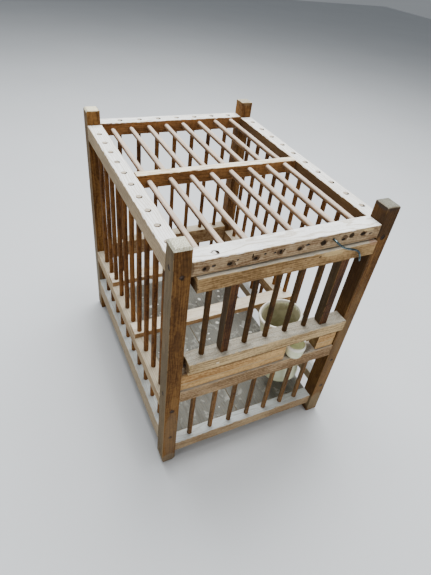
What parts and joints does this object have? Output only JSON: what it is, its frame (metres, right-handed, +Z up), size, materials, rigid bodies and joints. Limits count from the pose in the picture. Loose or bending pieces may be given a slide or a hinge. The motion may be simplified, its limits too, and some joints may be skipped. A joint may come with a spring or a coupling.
{
  "type": "bird cage",
  "caption": "Rectangular wooden finch cage on corner posts, with round bars, a drop-down front door, a wire hook and a hanging stoneware feeder",
  "frame": {"origin": "the centre of the box's base, on the surface the cage stands on", "axes": "+Z up, the door faces -Y, +X to the right as seen from the door side"},
  "size_m": [0.2302, 0.3202, 0.3245],
  "materials": {
    "wood_post": "bare weathered softwood, worn arrises",
    "wood_bleached": "bare wood bleached pale grey on the upper faces",
    "wood_grey": "bare wood, dusty grey on top",
    "wood_brown": "bare warm brown softwood",
    "wood_dark": "dark brown whittled wood",
    "wire": "dull grey bent wire",
    "old_iron": "dark rusty nails",
    "stoneware": "thin pale yellow-green glaze, cream rim"
  },
  "bodies": {
    "frame": {"post_front_left": "wood_post", "post_front_right": "wood_post", "post_back_left": "wood_post", "post_back_right": "wood_post", "rail_top_front": "wood_bleached", "rail_top_back": "wood_bleached", "rail_top_left": "wood_bleached", "rail_top_right": "wood_bleached", "rail_top_cross": "wood_bleached", "rail_mid_front": "wood_brown", "rail_mid_back": "wood_brown", "rail_mid_left": "wood_brown", "rail_mid_right": "wood_brown", "rail_low_front": "wood_grey", "rail_low_back": "wood_grey", "rail_low_left": "wood_grey", "rail_low_right": "wood_grey", "sill_left": "wood_brown", "sill_right": "wood_brown", "floor_left": "wood_grey", "floor_right": "wood_grey", "slat_near": "wood_bleached", "slat_far": "wood_bleached", "bar_top_1": "wood_bleached", "bar_top_2": "wood_bleached", "bar_top_3": "wood_bleached", "bar_top_4": "wood_bleached", "bar_top_5": "wood_bleached", "bar_top_6": "wood_bleached", "bar_top_7": "wood_bleached", "bar_top_8": "wood_bleached", "bar_front_1": "wood_dark", "bar_front_2": "wood_dark", "bar_front_3": "wood_dark", "bar_front_4": "wood_dark", "bar_front_5": "wood_dark", "bar_front_6": "wood_dark", "bar_front_7": "wood_dark", "bars_back": "wood_dark", "bars_left": "wood_dark", "bars_right": "wood_dark", "door_pins": "old_iron", "frame_nails": "old_iron", "peg_front": "wood_bleached"},
    "door": {"door_rail_top": "wood_brown", "door_rail_bottom": "wood_brown", "door_stile_left": "wood_dark", "door_stile_right": "wood_dark", "door_bar_1": "wood_dark", "door_bar_2": "wood_dark", "door_bar_3": "wood_dark", "door_bar_4": "wood_dark", "door_bar_5": "wood_dark"},
    "hook": {"hook": "wire"},
    "feeder": {"feeder_cup": "stoneware"}
  },
  "joints": [
    {"name": "door_hinge", "type": "hinge", "parent": "frame", "child": "door", "pos_m": [0, -0.14967, 0.173], "axis": [1, 0, 0], "range_deg": [0, 115]},
    {"name": "hook_turn", "type": "hinge", "parent": "frame", "child": "hook", "pos_m": [0.0419, -0.15317, 0.3], "axis": [0, -1, 0], "range_deg": [0, 165]},
    {"name": "feeder_slide", "type": "slide", "parent": "frame", "child": "feeder", "axis": [0, 1, 0], "range_m": [0, 0.032]}
  ]
}
